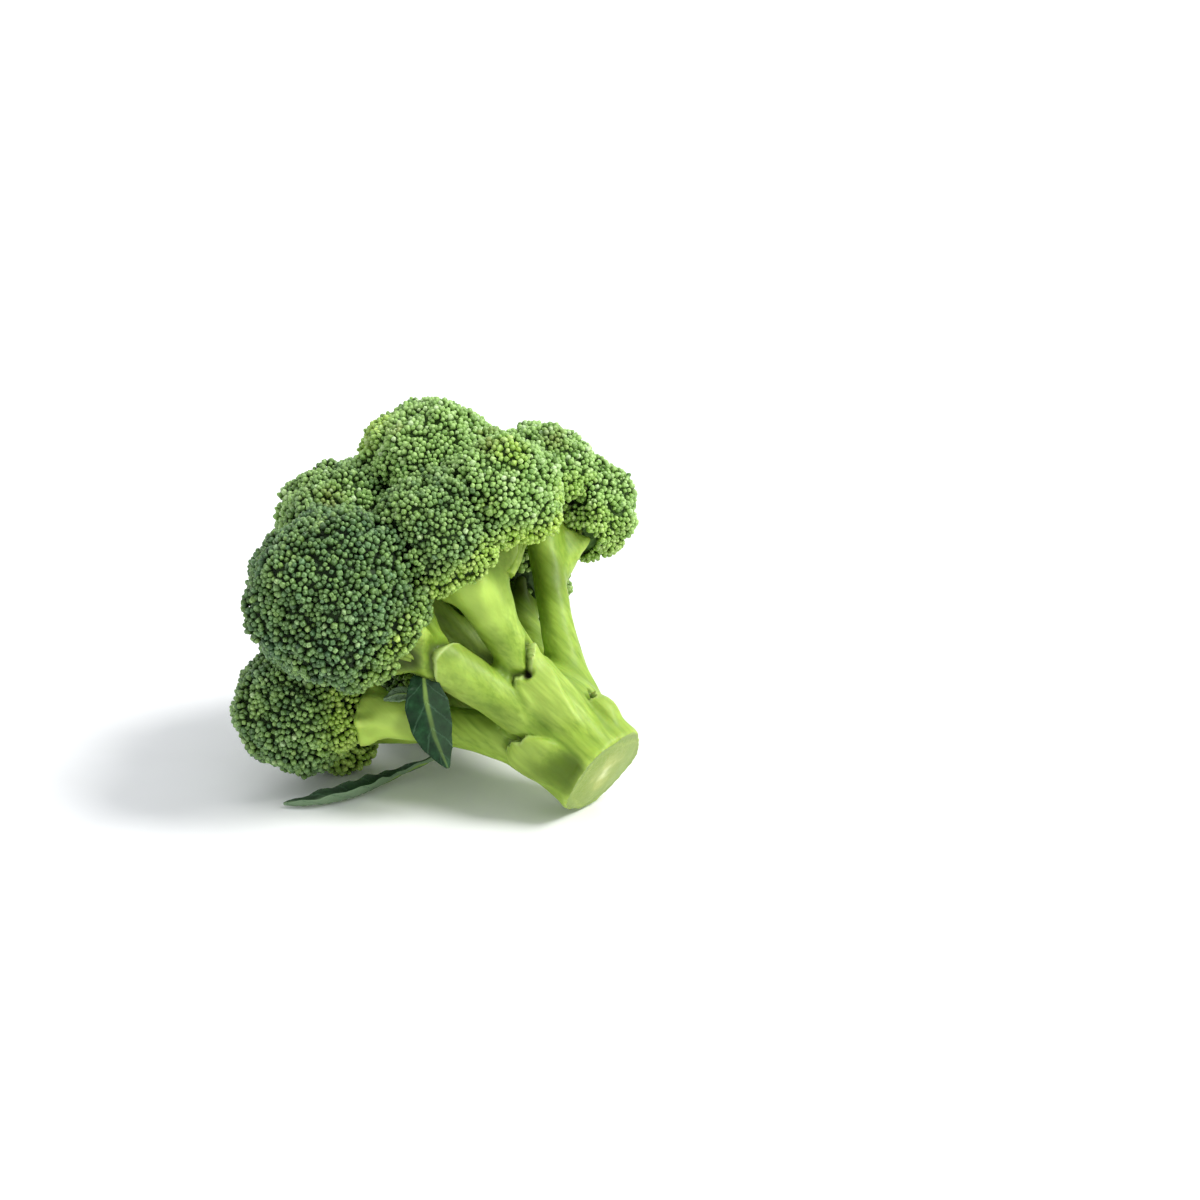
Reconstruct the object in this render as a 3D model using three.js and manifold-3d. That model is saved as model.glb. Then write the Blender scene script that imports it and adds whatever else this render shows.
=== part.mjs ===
// A broccoli head, as cut and laid down: a branched stalk, fifteen florets and three small leaves.
// Millimetres, +Z up. The head lies on z = 0, its crown towards -X and its cut end towards +X.

import * as THREE from "three";
import { ConvexHull } from "three/addons/math/ConvexHull.js";
import { mergeVertices } from "three/addons/utils/BufferGeometryUtils.js";
import Module from "manifold-3d";

const wasm = await Module();
wasm.setup();

// ---- Driving dimensions ------------------------------------------------------------------

const LEAN = THREE.MathUtils.degToRad(29); // stem axis above the surface, where the head comes to rest
const REST_HEIGHT = 15.3; // centre of the cut end above the surface
const STEM_RADIUS = 17.5; // at the cut
const GAP = 0.3; // what a floret or a leaf keeps from its neighbours
const SLIVER = 0.03; // faces narrower than this are dropped where solids join

const BUD_PITCH = 7; // between bud clusters
const BUD_RELIEF = 1.9; // from the top of a cluster to the groove round it
const UNDERSIDE = 0.6; // floret radii from its centre to its flat underside, unless it has a `depth`
const CLUSTER_BULGE = 0.1; // how far a floret's own lobes stand out, in floret radii
const CLUSTER_SPREAD = 30; // degrees across such a lobe's half
const LOBES = 14; // all round a floret

const BRANCH_NECK = 11; // from a floret's underside down to where its twigs part
const SHARED_FORK = 28; // from a floret's underside down to where a second branch parts from its own
const BRANCH_SINK = 2.5; // how far a branch's end sinks into its floret
const TWIG_SINK = 1.8;

const LEAF_THICKNESS = 0.9;
const MIDRIB_RELIEF = 0.35; // above and below the blade

// A floret is a dome on its own branch. `along` is its centre's distance from the cut end on the
// stem axis, `out` its distance from that axis, `turn` its angle round it (0 is the top side, -90
// the front, 180 the side on the surface), and `radius` its dome's. `stem` is its branch's radius.
// `fork` is where its branch leaves the stem, so that the dome faces away from there. `shares` is
// the place in this list of the floret whose branch its own grows from, and `beside` how much nearer
// to that branch than the middle of its underside its own meets it.
const LOW_FORK = { along: 34, out: 12 };
const HIGH_FORK = { along: 55, out: 7 };
const TOP_FORK = { along: 60, out: 1 };
const FLORETS = [
  { along: 91, out: 54.7, turn: -70, radius: 31.5, stem: 7.4, fork: LOW_FORK, depth: 0.85 },
  { along: 91, out: 55, turn: -129.5, radius: 24.3, stem: 7, fork: LOW_FORK, depth: 0.95 },
  { along: 84, out: 46, turn: -25, radius: 24, stem: 7.2, fork: LOW_FORK, depth: 0.72 },
  { along: 82, out: 52, turn: 1, radius: 24, stem: 4.6, fork: LOW_FORK, shares: 2, beside: 8, depth: 0.66 },
  { along: 116, out: 30, turn: -53, radius: 24, stem: 5.8, fork: HIGH_FORK },
  { along: 110, out: 40.4, turn: 4.5, radius: 26.2, stem: 6, fork: HIGH_FORK },
  { along: 93, out: 57, turn: 50, radius: 22, stem: 5.8, fork: LOW_FORK },
  { along: 78, out: 65, turn: 60, radius: 19, stem: 4.4, fork: LOW_FORK, shares: 6, beside: 6, depth: 0.8 },
  { along: 92, out: 53, turn: 103, radius: 25, stem: 6.4, fork: LOW_FORK },
  { along: 84, out: 48.2, turn: 150, radius: 21.5, stem: 5.8, fork: LOW_FORK },
  { along: 83.5, out: 52.9, turn: -154, radius: 16, stem: 4.4, fork: LOW_FORK },
  { along: 112, out: 38, turn: 62, radius: 23, stem: 5.6, fork: HIGH_FORK },
  { along: 112, out: 34, turn: 128, radius: 23, stem: 5.6, fork: HIGH_FORK },
  { along: 110, out: 31, turn: -140, radius: 22, stem: 5.4, fork: HIGH_FORK },
  { along: 122, out: 6, turn: 0, radius: 25, stem: 6, fork: TOP_FORK },
].map((floret, i) => ({
  depth: UNDERSIDE,
  name: "floret_" + String(i + 1).padStart(2, "0"),
  ...floret,
}));

// The stem below its fork: distance from the cut end, and radius there.
const TRUNK = [
  [0, STEM_RADIUS],
  [5, STEM_RADIUS - 0.4],
  [14, STEM_RADIUS],
  [24, STEM_RADIUS + 0.6],
  [34, STEM_RADIUS - 1],
  [44, STEM_RADIUS - 5],
  [52, STEM_RADIUS - 11],
];
const RIBS = 5; // the leaf bases make the stem faintly five-sided
const RIB_HEIGHT = 0.045; // in stem radii

// The bases of cut leaf stalks, which clasp the stem: their two ends, as along, out and turn, with
// their width and thickness there. Between its ends a base bows out from the stem.
const BASE_BOW = 1.5;
const LEAF_BASES = [
  { from: [1, 12.5, -30], to: [39, 19.5, -20], wide: [12, 15], thick: [8, 4.2] },
  { from: [0.6, 12.5, -88], to: [24, 18.5, -104], wide: [15, 24], thick: [8, 4.6] },
  { from: [4, 14, 14], to: [16, 17.5, 15], wide: [7, 6], thick: [6, 4] },
  { from: [30, 17, -66], to: [59, 27.5, -67], wide: [11, 10], thick: [8, 4.5] },
  { from: [1, 12.5, 172], to: [20, 17, 168], wide: [12, 14], thick: [8, 4.4] },
  { from: [2, 13, 100], to: [30, 19, 96], wide: [11, 13], thick: [8, 4.2] },
];

// ---- Small helpers -----------------------------------------------------------------------

// A seeded random number from 0 to 1.
function dice(seed) {
  let state = seed >>> 0;
  return () => {
    state = (state + 0x6d2b79f5) >>> 0;
    let t = state;
    t = Math.imul(t ^ (t >>> 15), t | 1);
    t ^= t + Math.imul(t ^ (t >>> 7), t | 61);
    return ((t ^ (t >>> 14)) >>> 0) / 4294967296;
  };
}

// A value read from an evenly spaced list, t of the way along it.
function valueAt(list, t) {
  const place = t * (list.length - 1);
  const i = Math.min(Math.floor(place), list.length - 2);
  return THREE.MathUtils.lerp(list[i], list[i + 1], place - i);
}

// Directions of the lying head: along its stem, to its top side and to its back.
const ALONG = new THREE.Vector3(-Math.cos(LEAN), 0, Math.sin(LEAN));
const TOP = new THREE.Vector3(Math.sin(LEAN), 0, Math.cos(LEAN));
const BACK = new THREE.Vector3(0, 1, 0);

// The point that lies `along` the stem axis, `out` from it, at the angle `turn` round it.
function headPoint(along, out, turn) {
  const angle = THREE.MathUtils.degToRad(turn);
  return new THREE.Vector3(0, 0, REST_HEIGHT)
    .addScaledVector(ALONG, along)
    .addScaledVector(TOP, out * Math.cos(angle))
    .addScaledVector(BACK, out * Math.sin(angle));
}

function solidFrom(positions, triangles) {
  const loose = new THREE.BufferGeometry();
  loose.setAttribute("position", new THREE.Float32BufferAttribute(positions, 3));
  loose.setIndex(triangles);
  return solidOf(loose);
}

function solidOf(geometry) {
  geometry.deleteAttribute("normal");
  geometry.deleteAttribute("uv");
  const merged = mergeVertices(geometry, 1e-4);
  const mesh = new wasm.Mesh({
    numProp: 3,
    vertProperties: merged.attributes.position.array,
    triVerts: new Uint32Array(merged.index.array),
  });
  return new wasm.Manifold(mesh).setTolerance(SLIVER);
}

function unite(solids) {
  return solids.reduce((all, one) => all.add(one));
}

// The largest body alone, with any hollow that joining has sealed in it filled.
function largestBody(solid) {
  const bodies = new wasm.Manifold(solid.getMesh()).decompose();
  return bodies.reduce((a, b) => (b.volume() > a.volume() ? b : a));
}

// A closed skin over rings of points, each ring with as many points as the last. Its two ends are
// zipped shut from side to side, so a thin or bent ring closes as well as a round one.
function skin(rings) {
  const sides = rings[0].length;
  const positions = rings.flat().flatMap((p) => p.toArray());
  const triangles = [];
  for (let k = 0; k + 1 < rings.length; k++)
    for (let j = 0; j < sides; j++) {
      const a = k * sides + j;
      const b = k * sides + ((j + 1) % sides);
      triangles.push(a, b, b + sides, a, b + sides, a + sides);
    }
  const last = (rings.length - 1) * sides;
  let left = 0;
  let right = sides - 1;
  while (left + 1 < right) {
    triangles.push(left + 1, left, right);
    triangles.push(last + left, last + left + 1, last + right);
    left += 1;
    if (left + 1 === right) break;
    triangles.push(left, right, right - 1);
    triangles.push(last + right, last + left, last + right - 1);
    right -= 1;
  }
  return solidFrom(positions, triangles);
}

// A round tube through `points`, with the radius at each, `grow` fatter and longer all over.
function tube(points, radii, sides, steps, grow) {
  const curve = new THREE.CatmullRomCurve3(points, false, "centripetal");
  const frames = curve.computeFrenetFrames(steps, false);
  const rings = [];
  for (let k = 0; k <= steps; k++) {
    const t = k / steps;
    const centre = curve.getPointAt(t);
    if (k === 0) centre.addScaledVector(frames.tangents[0], -grow);
    if (k === steps) centre.addScaledVector(frames.tangents[steps], grow);
    const radius = valueAt(radii, t) + grow;
    const ring = [];
    for (let j = 0; j < sides; j++) {
      const angle = (j / sides) * 2 * Math.PI;
      ring.push(
        centre
          .clone()
          .addScaledVector(frames.normals[k], radius * Math.cos(angle))
          .addScaledVector(frames.binormals[k], radius * Math.sin(angle)),
      );
    }
    rings.push(ring);
  }
  return skin(rings);
}

// ---- The stalk ---------------------------------------------------------------------------

function trunk(grow) {
  const sides = 25;
  return skin(
    TRUNK.map(([along, radius]) =>
      Array.from({ length: sides }, (_, j) => {
        const turn = (j / sides) * 360;
        const rib = 1 + RIB_HEIGHT * Math.cos(THREE.MathUtils.degToRad(RIBS * (turn - 20)));
        return headPoint(along - (along ? 0 : grow), radius * rib + grow, turn);
      }),
    ),
  );
}

function leafBase({ from, to, wide, thick }, grow) {
  const sides = 10;
  const steps = 4;
  const rings = [];
  for (let k = 0; k <= steps; k++) {
    const t = k / steps;
    const [along, out, turn] = from.map((v, i) => THREE.MathUtils.lerp(v, to[i], t));
    const outward = headPoint(0, 1, turn).sub(headPoint(0, 0, turn));
    const sideways = headPoint(0, 1, turn + 90).sub(headPoint(0, 0, turn));
    const halfWide = valueAt(wide, t) / 2 + grow;
    const halfThick = valueAt(thick, t) / 2 + grow;
    const bow = BASE_BOW * Math.sin(Math.PI * t);
    const centre = headPoint(along, out + bow, turn);
    rings.push(
      Array.from({ length: sides }, (_, j) => {
        const angle = (j / sides) * 2 * Math.PI;
        const across = halfWide * Math.cos(angle);
        const clasp = (across * across) / (2.6 * out);
        return centre
          .clone()
          .addScaledVector(outward, -halfThick * Math.sin(angle) - clasp)
          .addScaledVector(sideways, across);
      }),
    );
  }
  return skin(rings);
}

// Where a floret is: its centre, the way it faces, and where its branch meets its underside.
function seatOf(floret) {
  const centre = headPoint(floret.along, floret.out, floret.turn);
  const fork = headPoint(floret.fork.along, floret.fork.out, floret.turn);
  const facing = centre.clone().sub(fork).normalize();
  const under = centre.clone().addScaledVector(facing, -floret.depth * floret.radius);
  if (floret.beside) {
    const towards = seatOf(FLORETS[floret.shares]).under.sub(under);
    towards.addScaledVector(facing, -towards.dot(facing)).normalize();
    under.addScaledVector(towards, floret.beside);
  }
  return { centre, facing, under };
}

// The way a branch takes, from inside the stem to just below its floret.
function wayTo(floret) {
  if (floret.shares !== undefined) {
    const host = FLORETS[floret.shares];
    const { under, facing } = seatOf(host);
    return [...wayTo(host).slice(1), under.addScaledVector(facing, -SHARED_FORK)];
  }
  const spread = floret.out / 55;
  const low = floret.fork === LOW_FORK;
  return [
    headPoint(4, 8 * spread, floret.turn),
    headPoint(low ? 20 : 28, (low ? 10.5 : 8) * spread, floret.turn),
    headPoint(low ? 37 : 52, (low ? 17 : 11) * spread, floret.turn),
  ];
}

// A floret's branch, thick where it joins the stem and flared under its floret, with twigs that
// fan out to the rim.
function branch(floret, index, grow) {
  const { facing, under } = seatOf(floret);
  const { radius, stem } = floret;
  const at = (away, rise, wide) =>
    under.clone().addScaledVector(facing, rise).addScaledVector(away, wide);
  const points = [...wayTo(floret), at(facing, -BRANCH_NECK, 0), at(facing, BRANCH_SINK, 0)];
  const radii = [stem + 1.8, stem + 1.2, stem + 0.3, stem, stem * 1.25];
  const solids = [tube(points, radii, stem > 5 ? 9 : 7, 6, grow)];

  const random = dice(900 + index);
  const side = new THREE.Vector3(0, 0, 1).cross(facing).normalize();
  const other = facing.clone().cross(side);
  const twigs = radius > 20 ? 4 : 3;
  const twig = 0.1 * radius;
  for (let k = 0; k < twigs; k++) {
    const angle = ((k + 0.5 * random()) / twigs) * 2 * Math.PI;
    const reach = radius * (0.38 + 0.1 * random());
    const away = side
      .clone()
      .multiplyScalar(Math.cos(angle))
      .addScaledVector(other, Math.sin(angle));
    const path = [
      at(away, -BRANCH_NECK, stem * 0.3),
      at(away, -0.45 * BRANCH_NECK, reach * 0.62),
      at(away, TWIG_SINK, reach),
    ];
    solids.push(tube(path, [twig + 0.6, twig, twig + 0.2], 5, 2, grow));
  }
  return solids;
}

function stalkSolid(grow) {
  return unite([
    trunk(grow),
    ...LEAF_BASES.map((base) => leafBase(base, grow)),
    ...FLORETS.flatMap((floret, i) => branch(floret, i, grow)),
  ]);
}

// ---- The florets -------------------------------------------------------------------------

// Evenly spread directions round a ball, on a spiral.
function spiralDirections(count, random) {
  const golden = Math.PI * (3 - Math.sqrt(5));
  const wobble = 0.5 / Math.sqrt(count);
  return Array.from({ length: count }, (_, i) => {
    const z = 1 - (2 * i + 1) / count;
    const ring = Math.sqrt(1 - z * z);
    return new THREE.Vector3(
      ring * Math.cos(golden * i) + wobble * (random() - 0.5),
      ring * Math.sin(golden * i) + wobble * (random() - 0.5),
      z + wobble * (random() - 0.5),
    ).normalize();
  });
}

// A dome of bud clusters. Its neighbours and its underside cut it off along planes, and each
// cluster is a low pyramid whose foot lies in the grooves between it and the next.
function floretSolid(floret, index) {
  const random = dice(100 + index);
  const { centre, facing } = seatOf(floret);
  const R = floret.radius;

  const walls = [{ normal: facing.clone().negate(), reach: floret.depth * R }];
  for (const other of FLORETS) {
    if (other === floret) continue;
    const away = seatOf(other).centre.sub(centre);
    const apart = away.length();
    if (apart > R + other.radius) continue;
    const reach = (apart * apart + R * R - other.radius ** 2) / (2 * apart) - GAP / 2;
    walls.push({ normal: away.divideScalar(apart), reach });
  }
  const wallAt = (d) =>
    walls.reduce((least, { normal, reach }) => {
      const slope = d.dot(normal);
      return slope > 1e-6 ? Math.min(least, reach / slope) : least;
    }, Infinity);

  const lobes = spiralDirections(LOBES, random);
  const fall = 1 - Math.cos(THREE.MathUtils.degToRad(CLUSTER_SPREAD));
  const domeAt = (d) => {
    const nearest = Math.max(...lobes.map((lobe) => lobe.dot(d)));
    return R * (1 - CLUSTER_BULGE * Math.min(1, (1 - nearest) / fall));
  };

  const count = Math.round((4 * Math.PI * R * R) / (0.866 * BUD_PITCH ** 2));
  const directions = spiralDirections(count, random).filter(
    (d, i) => domeAt(d) < wallAt(d) || i % 3 === 0,
  );
  const isBud = directions.map((d) => domeAt(d) < wallAt(d));
  const points = directions.map((d) =>
    centre.clone().addScaledVector(d, Math.min(domeAt(d), wallAt(d))),
  );

  const numberOf = new Map(directions.map((d, i) => [d, i]));
  const faces = new ConvexHull().setFromPoints(directions).faces.map((face) => {
    const corners = [];
    let edge = face.edge;
    do {
      corners.push(numberOf.get(edge.head().point));
      edge = edge.next;
    } while (edge !== face.edge);
    return { corners, groove: -1 };
  });
  for (const face of faces) {
    if (!face.corners.every((i) => isBud[i])) continue;
    const d = face.corners
      .reduce((sum, i) => sum.add(directions[i]), new THREE.Vector3())
      .normalize();
    face.groove = points.length;
    points.push(centre.clone().addScaledVector(d, Math.min(domeAt(d) - BUD_RELIEF, wallAt(d))));
  }

  const across = new Map();
  for (const face of faces)
    face.corners.forEach((a, k) => across.set(a + "," + face.corners[(k + 1) % 3], face));
  const triangles = [];
  for (const face of faces) {
    if (face.groove < 0) triangles.push(...face.corners);
    face.corners.forEach((a, k) => {
      const b = face.corners[(k + 1) % 3];
      const next = across.get(b + "," + a);
      if (face.groove < 0) return;
      if (next.groove < 0) triangles.push(a, b, face.groove);
      else if (a < b) triangles.push(a, next.groove, face.groove, b, face.groove, next.groove);
    });
  }
  return solidFrom(points.flatMap((p) => p.toArray()), triangles);
}

// ---- The leaves --------------------------------------------------------------------------

// A leaf is a thin blade with a stalk of its own. `rib` is its midrib as points of the lying head
// (x, y and height), `up` the way its face looks, `width` its full width along the rib, `fold` how
// far its sides rise from the rib, in half widths, and `wave` the height of its wavy edge.
const LEAVES = [
  {
    name: "leaf_1",
    rib: [
      [-52.5, -24.5, 50.5],
      [-51, -30.5, 53.5],
      [-48.5, -34.5, 50],
      [-45, -37.5, 42],
      [-41.5, -37.5, 30],
      [-38.5, -34.5, 18.5],
    ],
    up: [0.62, -0.74, 0.26],
    width: [1.6, 2.2, 9, 15, 14, 9.5, 1.2],
    fold: 0.16,
    wave: 0.7,
    steps: 18,
  },
  {
    name: "leaf_2",
    rib: [
      [-55.5, -11.5, 14.6],
      [-63.5, -14.5, 8],
      [-71, -19.5, 3.2],
      [-73.2, -31, 1.3],
      [-74.6, -43.2, 0.9],
      [-80.5, -54.5, 0.9],
      [-88.3, -61, 1.2],
    ],
    up: [0.2, -0.25, 1],
    width: [1.8, 2, 4.5, 8, 9.5, 7.5, 1.2],
    fold: 1.2,
    wave: 0.8,
    steps: 24,
  },
  {
    name: "leaf_3",
    rib: [
      [-55.5, -25, 33.5],
      [-59.5, -28, 37.2],
      [-63.5, -30.5, 37],
      [-67.5, -33, 35],
    ],
    up: [0.4, -0.55, 0.75],
    width: [1.4, 4.4, 6, 1],
    fold: 0.2,
    wave: 0.3,
    steps: 9,
  },
];

function leafSolid(leaf) {
  const rib = new THREE.CatmullRomCurve3(leaf.rib.map((p) => new THREE.Vector3(...p)));
  const across = [-1, -0.55, 0, 0.55, 1];
  const rings = [];
  for (let k = 0; k <= leaf.steps; k++) {
    const t = k / leaf.steps;
    const centre = rib.getPointAt(t);
    const ahead = rib.getTangentAt(t);
    const side = ahead.clone().cross(new THREE.Vector3(...leaf.up)).normalize();
    const up = side.clone().cross(ahead).normalize();
    const halfWidth = valueAt(leaf.width, t) / 2;
    const flat = Math.sqrt(Math.max(0.1, 1 - (leaf.fold * 0.72) ** 2));
    const sheet = across.map((v) => {
      const rise = leaf.fold * Math.abs(v) * halfWidth;
      const wave = leaf.wave * v * v * Math.sin(k * 1.9 + 2 * v) * Math.min(1, halfWidth / 3);
      return centre
        .clone()
        .addScaledVector(side, v * halfWidth * flat)
        .addScaledVector(up, rise + wave);
    });
    const thick = LEAF_THICKNESS / 2;
    const fat = across.map((v) => (v === 0 ? thick + MIDRIB_RELIEF : thick));
    const top = sheet.map((p, n) => p.clone().addScaledVector(up, fat[n]));
    const bottom = sheet.map((p, n) => p.clone().addScaledVector(up, -fat[n]));
    rings.push([...top, ...bottom.reverse()]);
  }
  return skin(rings);
}

// ---- The head ----------------------------------------------------------------------------

// What lies below the surface is pressed flat: the low florets and the stem's corner rest on
// small flat spots.
const table = new THREE.BoxGeometry(400, 400, 20);
table.translate(0, 0, -10);
const belowTable = solidOf(table);

const stalk = stalkSolid(0);
const stalkAndGap = stalkSolid(GAP);

const FINISHES = {
  stalk: { color: 0xb5cf5e, roughness: 0.5, metalness: 0 },
  floret: { color: 0x4a6b2c, roughness: 0.7, metalness: 0 },
  leaf: { color: 0x2d5a45, roughness: 0.6, metalness: 0 },
};

function meshOf(name, solid, finish) {
  const { numProp, vertProperties, triVerts } = solid.getMesh();
  const geometry = new THREE.BufferGeometry();
  const position = new THREE.InterleavedBuffer(vertProperties, numProp);
  geometry.setAttribute("position", new THREE.InterleavedBufferAttribute(position, 3, 0));
  geometry.setIndex(new THREE.BufferAttribute(triVerts, 1));
  const flat = geometry.toNonIndexed();
  flat.computeVertexNormals();
  const mesh = new THREE.Mesh(flat, new THREE.MeshStandardMaterial(FINISHES[finish]));
  mesh.name = name;
  return mesh;
}

const head = new THREE.Group();
head.add(meshOf("stalk", largestBody(stalk.subtract(belowTable)), "stalk"));
FLORETS.forEach((floret, i) => {
  const solid = floretSolid(floret, i).subtract(stalkAndGap).subtract(belowTable);
  head.add(meshOf(floret.name, largestBody(solid), "floret"));
});
for (const leaf of LEAVES) {
  const solid = leafSolid(leaf).subtract(stalkAndGap).subtract(belowTable);
  head.add(meshOf(leaf.name, largestBody(solid), "leaf"));
}

// The origin is on the surface, below the middle of the head.
const box = new THREE.Box3().setFromObject(head);
head.position.set(-(box.min.x + box.max.x) / 2, -(box.min.y + box.max.y) / 2, 0);

const part = new THREE.Group();
part.add(head);

export default part;
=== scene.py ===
# %% [markdown]
# # A broccoli head
# A broccoli head is one plant part: a thick stalk that branches again and again, with thousands of
# closed flower buds on the ends of the last twigs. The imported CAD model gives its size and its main
# forms. This notebook loads that model as a fixed frame and dresses it: a smooth skin on the stalk,
# the single buds on each floret, the twigs below them and the leaf blades.

# %% Load the frame
import math

import bpy
import numpy as np
from mathutils import Matrix, Vector, noise as patchwork
from mathutils.bvhtree import BVHTree


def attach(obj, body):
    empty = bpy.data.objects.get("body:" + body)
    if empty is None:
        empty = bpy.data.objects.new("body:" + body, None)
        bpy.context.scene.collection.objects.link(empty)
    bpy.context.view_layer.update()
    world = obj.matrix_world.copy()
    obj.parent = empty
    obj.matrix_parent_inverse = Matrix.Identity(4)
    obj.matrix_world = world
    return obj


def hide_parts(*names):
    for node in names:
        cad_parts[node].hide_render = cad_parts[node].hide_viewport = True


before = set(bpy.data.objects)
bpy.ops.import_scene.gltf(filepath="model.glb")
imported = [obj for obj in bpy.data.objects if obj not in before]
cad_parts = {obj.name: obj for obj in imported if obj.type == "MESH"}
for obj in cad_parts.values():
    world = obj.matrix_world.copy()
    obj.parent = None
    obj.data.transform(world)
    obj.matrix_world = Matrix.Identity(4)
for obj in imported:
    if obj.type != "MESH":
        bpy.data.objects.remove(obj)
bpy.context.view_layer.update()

MM = 0.001
print("nodes:", sorted(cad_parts))

# %% [markdown]
# The head lies on its side, so its own axis leans. Everything that follows the plant, such as the
# tint along the stalk, is worked out from that axis and from the middle of the cut end.

# %% The head's own axis
STEM_LEAN = math.radians(29)
ALONG = Vector((-math.cos(STEM_LEAN), 0, math.sin(STEM_LEAN)))
CUT_END = Vector((60.8, 2.5, 15.3)) * MM


def points_of(thing, what="co"):
    """All points of an object's mesh, or another row of three numbers that each one has."""
    vertices = thing.data.vertices
    flat = np.empty(len(vertices) * 3)
    vertices.foreach_get(what, flat)
    return flat.reshape(-1, 3)


def normals_of(thing):
    """The normal at each point of an object's mesh."""
    return points_of(thing, "normal")


lowest = ((points_of(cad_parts["stalk"]) - np.array(CUT_END)) @ np.array(ALONG)).min()
print("the CAD stalk starts", round(lowest / MM, 2), "mm from the middle of the cut end")

# %% [markdown]
# A long lens from well back keeps the florets in natural proportion. The camera stands a little above
# the table and to one side of the cut end. A camera looks along its own -Z with +Y up, so its turn is
# the matrix whose columns are its right, up and back directions.

# %% Camera
VIEW_AZIMUTH = math.radians(38)
VIEW_ELEVATION = math.radians(20)
VIEW_DISTANCE = 1.2
LENS_MM = 109.1
AIM_RIGHT = -1.65 * MM  # from the cut end to the middle of the picture
AIM_UP = 57.1 * MM

view_back = Vector((
    math.sin(VIEW_AZIMUTH) * math.cos(VIEW_ELEVATION),
    -math.cos(VIEW_AZIMUTH) * math.cos(VIEW_ELEVATION),
    math.sin(VIEW_ELEVATION),
))
view_right = Vector((math.cos(VIEW_AZIMUTH), math.sin(VIEW_AZIMUTH), 0))
view_up = view_back.cross(view_right)
view_turn = Matrix((view_right, view_up, view_back)).transposed()

bpy.ops.object.camera_add(
    location=CUT_END + AIM_RIGHT * view_right + AIM_UP * view_up + VIEW_DISTANCE * view_back,
    rotation=view_turn.to_euler(),
)
camera = bpy.context.object
camera.data.lens = LENS_MM
camera.data.clip_start = 0.05
bpy.context.scene.camera = camera

# %% [markdown]
# Vegetables look fresh in a bright, soft light: a white surface below, one broad light from above on
# the right for a gentle shade between the florets, and a pale sky that fills the rest. A sun lamp
# lights the whole surface evenly, and a wide angle gives it a large lamp's soft shadows. The colours
# are matched to a plain (Standard) view, which shows a colour as it is mixed, without a film curve.

# %% Helpers for materials
def hex_colour(code):
    """A linear, opaque colour from an sRGB hex value."""
    channels = [int(code[i:i + 2], 16) / 255 for i in (1, 3, 5)]
    linear = [c / 12.92 if c <= 0.04045 else ((c + 0.055) / 1.055) ** 2.4 for c in channels]
    return (*linear, 1.0)


def node(tree, kind, settings=None, **inputs):
    """Adds a node. Settings are its own properties; inputs are numbers, colours or links."""
    made = tree.nodes.new(kind)
    for name, value in (settings or {}).items():
        setattr(made, name, value)
    for name, value in inputs.items():
        key = int(name[1:]) if name[0] == "_" and name[1:].isdigit() else name.replace("_", " ")
        if isinstance(value, bpy.types.NodeSocket):
            tree.links.new(value, made.inputs[key])
        else:
            made.inputs[key].default_value = value
    return made


def material(name):
    """A new material and its node tree, which starts empty."""
    made = bpy.data.materials.new(name)
    made.use_nodes = True
    made.node_tree.nodes.clear()
    return made, made.node_tree


def principled(tree, **inputs):
    """Ends a material with a Principled shader."""
    shader = node(tree, "ShaderNodeBsdfPrincipled", **inputs)
    node(tree, "ShaderNodeOutputMaterial", Surface=shader.outputs[0])


def ramp(tree, factor, *stops):
    """A colour ramp from (place, hex colour) pairs."""
    made = node(tree, "ShaderNodeValToRGB", Fac=factor)
    band = made.color_ramp
    while len(band.elements) < len(stops):
        band.elements.new(0.5)
    for element, (place, code) in zip(band.elements, stops):
        element.position = place
        element.color = hex_colour(code)
    return made.outputs["Color"]


# %% The surface below
bpy.context.scene.view_settings.view_transform = "Standard"

table_paint, tree = material("matt_white_table")
speck = node(tree, "ShaderNodeTexNoise", Scale=400.0)
white = ramp(tree, speck.outputs["Fac"], (0.0, "#f4f4f2"), (1.0, "#fbfbfa"))
principled(tree, Base_Color=white, Roughness=0.7)

bpy.ops.mesh.primitive_plane_add(size=12.0, location=(0, 0, 0))
table = bpy.context.object
table.name = "table"
table.data.materials.append(table_paint)

# %% Sky and lamps
bpy.ops.world.new()
sky = bpy.data.worlds[-1]
bpy.context.scene.world = sky
sky.use_nodes = True
glow = sky.node_tree.nodes["Background"].inputs
glow["Color"].default_value = hex_colour("#f6f9ff")
glow["Strength"].default_value = 0.78


def sun(name, towards, softness, power):
    """A far lamp. Towards is the direction to it, and softness the angle it fills, in degrees."""
    turn = Vector(towards).to_track_quat("Z", "Y").to_euler()
    bpy.ops.object.light_add(type="SUN", location=(0, 0, 1), rotation=turn)
    made = bpy.context.object
    made.name = name
    made.data.angle = math.radians(softness)
    made.data.energy = power


sun("key_lamp", (0.58, 0.32, 0.74), 26, 2.9)
sun("rim_lamp", (-0.45, 0.70, 0.55), 40, 0.5)

# %% [markdown]
# ## The stalk's skin
# The stalk is smooth, firm and slightly waxy, so it is a dielectric with a broad, soft highlight. Its
# green is paler on the thick branches, yellower under the florets and streaked along its length. The
# streaks are noise that is stretched along the head's axis: the coordinates are turned until X runs
# along the axis, and then X is squeezed.

# %% More helpers for materials
AXIS_TURN = (0, -STEM_LEAN, 0)  # turns the head's axis onto -X


def place_on(tree):
    """Object coordinates, in metres."""
    return node(tree, "ShaderNodeTexCoord").outputs["Object"]


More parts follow.
